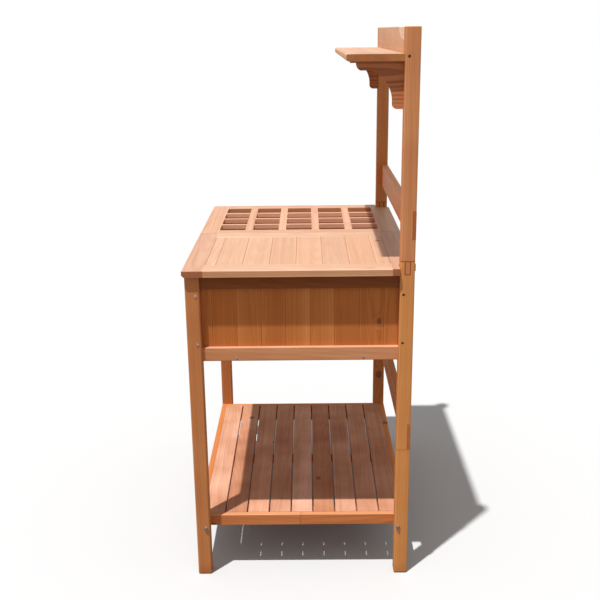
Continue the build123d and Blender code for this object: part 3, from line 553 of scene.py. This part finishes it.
def steel(name, bright, dull):
    """A plated steel material that dulls in patches."""
    patch_size, scratch_bump, scratch_deep = 0.004, 0.15, 0.0001
    material = bpy.data.materials.new(name)
    material.use_nodes = True
    tree = material.node_tree
    tree.nodes.clear()
    worn = add(tree, "Group", node_tree=tarnish)
    tree.links.new(add(tree, "TexCoord").outputs["Object"], worn.inputs["Place"])
    for label, value in (("Bright", (*bright, 1)), ("Dull", (*dull, 1)), ("Patch size", patch_size)):
        worn.inputs[label].default_value = value
    feeds = [("Strength", scratch_bump), ("Distance", scratch_deep), ("Height", worn.outputs["Relief"])]
    feeds = [("Base Color", worn.outputs["Colour"]), ("Roughness", worn.outputs["Roughness"]),
             ("Normal", add(tree, "Bump", feeds).outputs[0]), ("Metallic", 1.0)]
    surface = add(tree, "BsdfPrincipled", feeds)
    add(tree, "OutputMaterial", [("Surface", surface.outputs[0])])
    return material


zinc = steel("Zinc plated steel", (0.42, 0.33, 0.28), (0.22, 0.15, 0.12))
black_steel = steel("Blackened steel", (0.17, 0.12, 0.10), (0.085, 0.05, 0.036))
bolt_head, bolt_tall, bolt_dome, bolt_shank, bolt_long = 0.0072, 0.002, 0.0009, 0.005, 0.064
socket_flats, socket_deep, recess_wall = 0.003, 0.0014, 0.00015


def six_sided_socket(radius, turn):
    """Depth of the socket: full where r times the cosine from the nearest flat is within half the key."""
    inside = socket_flats / 2 - radius * np.cos((turn + np.pi / 6) % (np.pi / 3) - np.pi / 6)
    return socket_deep * np.clip(inside / recess_wall, 0, 1)


bolt_profile, bolt_crown = headed(bolt_head, bolt_tall, bolt_dome, bolt_shank, bolt_long)
for node, name, slot, finish in (
    ("front_panel_bolts", "front_bolt_heads", "zinc_steel", zinc),
    ("rear_panel_bolts", "rear_bolt_heads", "dark_steel", black_steel),
):
    turned(name, node, slot, finish, bolt_profile, *at_both_ends(node, bolt_head, bolt_tall),
           six_sided_socket, bolt_crown)

# Bin floor
# Plain fir boards laid across two fir bearers. A round-head cross-point screw through the bottom rail
# of each end panel holds each end of a bearer.
bearer_span = 0.34
floor_pitch, floor_half_count = 0.06825, 6
fir("floor_bearers", X, Y, 91.0, first=-bearer_span, pitch=bearer_span)
fir("floor_boards", Y, X, 93.0, first=-floor_half_count * floor_pitch, pitch=floor_pitch)
screw_head, screw_tall, screw_dome, screw_shank, screw_long = 0.007, 0.0018, 0.0011, 0.004, 0.058
slot_wide, slot_long, slot_deep, slot_rise, screw_sides = 0.0009, 0.0044, 0.0011, 0.55, 72


def crossed_slots(radius, turn):
    """Depth of the driver recess: two crossed slots, deepest in the middle and rising towards their ends."""
    side, up = np.abs(radius * np.cos(turn)), np.abs(radius * np.sin(turn))
    one = np.minimum(slot_wide / 2 - side, slot_long / 2 - up)
    other = np.minimum(slot_wide / 2 - up, slot_long / 2 - side)
    rise = 1 - slot_rise * radius / (slot_long / 2)
    return slot_deep * rise * np.clip(np.maximum(one, other) / recess_wall, 0, 1)


screw_profile, screw_crown = headed(screw_head, screw_tall, screw_dome, screw_shank, screw_long)
turned("floor_screw_heads", "floor_screws", "zinc_steel", zinc, screw_profile,
       *at_both_ends("floor_screws", screw_head, screw_tall), crossed_slots, screw_crown, screw_sides)

# Lower shelf
# A frame of thin fir rails between the legs, with slats that lie on hidden bearers, edges eased.
# Round-head bolts with washers and nuts fix the end rails to the legs.
slat_field, slat_count = 0.570, 9
# The slats' tint for faces turned up is painted light on their tops.
slat_stain, slat_top_light = (0.558, 0.242, 0.143), (0.92, 1.0, 1.0)
slat_spread, slat_knots, slat_figure, slat_mottle = 0.5, 0.45, 0.25, 1.4
# The end rail's tint for faces turned up is a painted sky sheen on its top.
shelf_end_stain, shelf_end_top_sheen = (0.602, 0.194, 0.063), (0.95, 1.3, 1.9)
shelf_joint, shelf_joint_shade = 0.0, 0.6
shelf_bearer_seam, shelf_bearer_pitch = -0.525, 0.35
fir("shelf_front_rail", X, Z, 101.0)
fir("shelf_back_rail", X, Z, 102.3)
fir("shelf_end_rail_right", Y, Z, 103.1, joint=shelf_joint, colour=shelf_end_stain, figure=soft_figure,
    seam=shelf_joint_shade, upward=shelf_end_top_sheen)
fir("shelf_end_rail_left", Y, Z, 104.9)
fir("shelf_bearers", Y, X, 105.5, first=shelf_bearer_seam, pitch=shelf_bearer_pitch)
fir("shelf_slats", X, Y, 107.0, first=-slat_field / 2, pitch=slat_field / slat_count, colour=slat_stain,
    spread=slat_spread, knots=slat_knots, figure=slat_figure, seam=0.0, mottle=slat_mottle,
    upward=slat_top_light)
shelf_head, shelf_tall, shelf_dome, shelf_bolt_long = 0.010, 0.004, 0.003, 0.060
dome_profile, _ = headed(shelf_head, shelf_tall, shelf_dome, bolt_shank, shelf_bolt_long)
turned("shelf_bolt_domes", "shelf_bolts", "dark_steel", black_steel, dome_profile,
       *at_both_ends("shelf_bolts", shelf_head, shelf_tall))
washer_wide, washer_thick, washer_face, washer_edge, bore = 0.0135, 0.0015, 0.47, 0.0011, 0.0056
washer_profile = [(bore / 2, washer_thick), (washer_face * washer_wide, washer_thick),
                  (washer_wide / 2, washer_edge), (washer_wide / 2, 0.0), (bore / 2, 0.0)]
turned("shelf_washers", "shelf_bolt_washers", "zinc_steel", zinc, washer_profile,
       *at_both_ends("shelf_bolt_washers", washer_wide, washer_thick))
nut_wide, nut_thick, nut_face, nut_bevel = 0.009, 0.005, 0.9, 0.0006
nut_flat = nut_wide / 2 * np.cos(np.pi / 6)
nut_profile = [(bore / 2, nut_thick), (nut_face * nut_flat, nut_thick), (nut_flat, nut_thick - nut_bevel),
               (nut_flat, 0.0), (bore / 2, 0.0)]
nut_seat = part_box("shelf_bolt_nuts")[1][X]
nut_y, nut_z = middles("shelf_bolts", Y, shelf_head)[1], middles("shelf_bolts", Z, shelf_head)[0]
nut_places = [(end * nut_seat, side * nut_y, nut_z) for end in (1, -1) for side in (1, -1)]
turned("shelf_nuts", "shelf_bolt_nuts", "zinc_steel", zinc, nut_profile, nut_places,
       [(-np.sign(place[0]), 0, 0) for place in nut_places], flats=6)

# Back boards
# Fir boards lapped into notches at the back: the lower rail into the rear legs, the splash board into
# the posts. Two cross-point screws hold each end from behind.
lower_end_shade = 0.6
splash_stain, splash_sheen = (0.60, 0.230, 0.072), 0.22
fir("lower_back_rail", X, Z, 121.0, end_shade=lower_end_shade)
fir("splash_board", X, Z, 122.7, colour=splash_stain, sheen=splash_sheen, dull=0.0)
back_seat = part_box("back_board_screws")[1][Y] - screw_tall
back_spread, back_screw_long = 0.036, 0.028
back_heights = [(low[Z] + high[Z]) / 2 + step * back_spread / 2
                for low, high in (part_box("lower_back_rail"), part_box("splash_board")) for step in (-1, 1)]
back_places = [(x, back_seat, z) for x in middles("back_board_screws", X, screw_head) for z in back_heights]
back_profile, back_crown = headed(screw_head, screw_tall, screw_dome, screw_shank, back_screw_long)
turned("back_screw_heads", "back_board_screws", "zinc_steel", zinc, back_profile, back_places,
       [(0, 1, 0)] * len(back_places), crossed_slots, back_crown, screw_sides)

# Header, upper shelf and brackets
# A fir header bolted between the posts, a shelf board in front of it, and two brackets sawn to shape
# with the grain level. One corner of the header is given a pale patch.
header_corner, corner_reach = (0.42, 0.262, 1.5), (0.15, 0.08, 0.034)
# The header's tint for faces turned up is a painted sky sheen on its top edge.
header_stain, header_top_sheen, header_sheen = (0.575, 0.256, 0.098), (0.85, 1.05, 1.3), 0.5
fir("header_board", X, Z, 131.0, colour=header_stain, figure=soft_figure,
    pale=(header_corner, corner_reach), sheen=header_sheen, dull=0.0, upward=header_top_sheen)
# The shelf's tint for faces turned up is a painted sky sheen on its top.
shelf_stain, shelf_top_sheen, shelf_sheen = (0.563, 0.233, 0.074), (0.80, 0.98, 1.68), 0.4
fir("upper_shelf_board", X, Y, 132.6, colour=shelf_stain, figure=soft_figure, sheen=shelf_sheen, dull=0.0,
    upward=shelf_top_sheen)
# The far bracket is stained darker than the near one as painted shade: the shelf's shadow and less sky.
bracket_stain, far_bracket_shaded_stain = (0.523, 0.191, 0.082), (0.41, 0.138, 0.056)
wide_ring, full_figure = 0.0075, 1.0
for side, seed, stain in (("right", 133.4, bracket_stain), ("left", 135.1, far_bracket_shaded_stain)):
    fir("shelf_bracket_" + side, Y, Z, seed, colour=stain, ring=wide_ring, figure=full_figure, mottle=blotchy)
turned("header_bolt_heads", "header_bolts", "dark_steel", black_steel, bolt_profile,
       *at_both_ends("header_bolts", bolt_head, bolt_tall), six_sided_socket, bolt_crown)

# Planked half of the worktop
# A mortised fir frame with tongued planks let in flush, held by two battens underneath.
# It lies on the legs and lifts off in one piece.
worktop_stain = (0.518, 0.216, 0.092)
pale_stain = (0.575, 0.265, 0.122)
deep_stain = (0.475, 0.186, 0.081)
worktop_gloss = {"sheen": 0.5, "dull": 0.0}
top_seam, top_pitch, top_seam_shade, plank_figure, plank_spread = -0.222, 0.071, 0.3, 0.14, 0.14
batten_seam, batten_pitch = -0.1179, 0.3073
few_knots = 0.12
# The rails' and planks' tops take the painted sky sheen tint for faces turned up.
for name, grain, across, seed, stain in (
    ("front_rail", X, Y, 141.2, deep_stain), ("back_rail", X, Y, 142.4, deep_stain),
    ("end_rail", Y, X, 143.8, worktop_stain), ("mid_rail", Y, X, 144.1, pale_stain),
):
    fir("plank_top_" + name, grain, across, seed, colour=stain, figure=soft_figure, knots=few_knots,
        upward=top_sky_sheen, **worktop_gloss)
fir("plank_top_planks", X, Y, 146.0, first=top_seam, pitch=top_pitch, colour=worktop_stain,
    figure=plank_figure, seam=top_seam_shade, knots=few_knots, spread=plank_spread, upward=top_sky_sheen,
    **worktop_gloss)
fir("plank_top_battens", Y, X, 148.0, first=batten_seam, pitch=batten_pitch)

# Lattice half of the worktop
# The same frame holding fir bars that cross, half lapped so that they lie flush on top.
# It lies on the legs beside the planked half and lifts off over the bin.
# The lattice rails' tops take the same painted sky sheen tint.
for name, grain, across, seed in (("front_rail", X, Y, 161.2), ("back_rail", X, Y, 162.4),
                                  ("end_rail", Y, X, 163.8), ("mid_rail", Y, X, 164.1)):
    fir("lattice_top_" + name, grain, across, seed, colour=worktop_stain, figure=soft_figure,
        knots=few_knots, upward=top_sky_sheen, **worktop_gloss)
# The bars are coloured paler as painted light falling into the openings onto their sides; the tint for faces
# turned up takes their tops back down.
bar_stain_with_side_light = (0.757, 0.375, 0.231)
bar_top_tint_under_side_light = (0.72, 0.75, 0.70)
long_bar_wide, long_bar_count = 0.0235, 4
cross_bar_wide, cross_bar_count = 0.015, 3
for node, grain, across, seed, wide, count in (
    ("lattice_long_bars", X, Y, 166.0, long_bar_wide, long_bar_count),
    ("lattice_cross_bars", Y, X, 167.0, cross_bar_wide, cross_bar_count),
):
    low, high = (corner[across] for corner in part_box(node))
    bar_pitch = (high - low - wide) / (count - 1)
    fir(node, grain, across, seed, first=low + wide / 2 - bar_pitch / 2, pitch=bar_pitch,
        colour=bar_stain_with_side_light, figure=soft_figure, seam=0.0, upward=bar_top_tint_under_side_light, **worktop_gloss)
fir("lattice_top_batten", Y, X, 168.0)

# Floor, light and camera
# A pale floor, an open pale sky and one high key light from the near end, a little to the front.
# The camera stands at the near end, above the worktop and looking down along it.
floor_half = 6.0
floor_mesh = bpy.data.meshes.new("floor")
corners = np.array([(-1, -1, 0), (1, -1, 0), (1, 1, 0), (-1, 1, 0)], float) * floor_half
floor_mesh.from_pydata(corners.tolist(), [], [(0, 1, 2, 3)])
floor_mesh.update()
floor = bpy.data.objects.new("floor", floor_mesh)
bpy.context.scene.collection.objects.link(floor)
paint = bpy.data.materials.new("Pale floor")
paint.use_nodes = True
paint_tree = paint.node_tree
paint_tree.nodes.clear()


def seen_directly(tree):
    """1 for rays from the camera or from a reflection, 0 for light that bounces between surfaces."""
    path = add(tree, "LightPath").outputs
    seen = sums(tree, "ADD", path["Is Camera Ray"], path["Is Glossy Ray"])
    return sums(tree, "MINIMUM", sums(tree, "ADD", seen, path["Is Transmission Ray"]), 1.0)


bounce, shown, floor_rough = 0.21, 0.60, 0.9
seen = seen_directly(paint_tree)
shade = blend(paint_tree, seen, (bounce, bounce, bounce, 1), (shown, shown, shown, 1))
feeds = [("Base Color", shade), ("Roughness", floor_rough), ("Specular IOR Level", 0.0)]
painted = add(paint_tree, "BsdfPrincipled", feeds)
add(paint_tree, "OutputMaterial", [("Surface", painted.outputs[0])])
floor_mesh.materials.append(paint)

sky_light = 0.44
world = bpy.data.worlds.new("Studio")
bpy.context.scene.world = world
world.use_nodes = True
sky = world.node_tree
sky.nodes.clear()
strength = sums(sky, "MULTIPLY_ADD", seen_directly(sky), 1.0 - sky_light, sky_light)
background = add(sky, "Background", [("Color", (1.0, 1.0, 1.0, 1)), ("Strength", strength)])
add(sky, "OutputWorld", [("Surface", background.outputs[0])])

key_strength, key_width = 4.13, 0.02
key_direction = np.array((0.237, -0.2, 1.0))
key_direction /= np.linalg.norm(key_direction)
key_side = np.cross((0, 1, 0), key_direction)
key_side /= np.linalg.norm(key_side)
key_up = np.cross(key_direction, key_side)
key_data = bpy.data.lights.new("key light", "SUN")
key_data.energy = key_strength
key_data.angle = key_width
key = bpy.data.objects.new("key light", key_data)
bpy.context.scene.collection.objects.link(key)
key.matrix_world = Matrix(np.column_stack([key_side, key_up, key_direction]).tolist()).to_4x4()

camera_place = np.array((2.7516, 0.0218, 1.4929))
yaw, pitch_down, roll = -0.0092, 0.3092, -0.0115
focal_px, centre_y_px, image_px, sensor_mm = 916.8, 323.4, 600, 36
ahead = np.array((-np.cos(yaw) * np.cos(pitch_down), np.sin(yaw) * np.cos(pitch_down), -np.sin(pitch_down)))
right = np.cross(ahead, (0, 0, 1))
right /= np.linalg.norm(right)
up = np.cross(right, ahead)
turned_right = np.cos(roll) * right + np.sin(roll) * up
turned_up = -np.sin(roll) * right + np.cos(roll) * up
camera_data = bpy.data.cameras.new("camera")
camera_data.sensor_width = sensor_mm
camera_data.lens = focal_px * sensor_mm / image_px
camera_data.shift_y = (centre_y_px - image_px / 2) / image_px
camera = bpy.data.objects.new("camera", camera_data)
bpy.context.scene.collection.objects.link(camera)
turn = Matrix(np.column_stack([turned_right, turned_up, -ahead]).tolist()).to_4x4()
camera.matrix_world = Matrix.Translation(camera_place.tolist()) @ turn
bpy.context.scene.camera = camera
bpy.context.scene.view_settings.view_transform = "Standard"
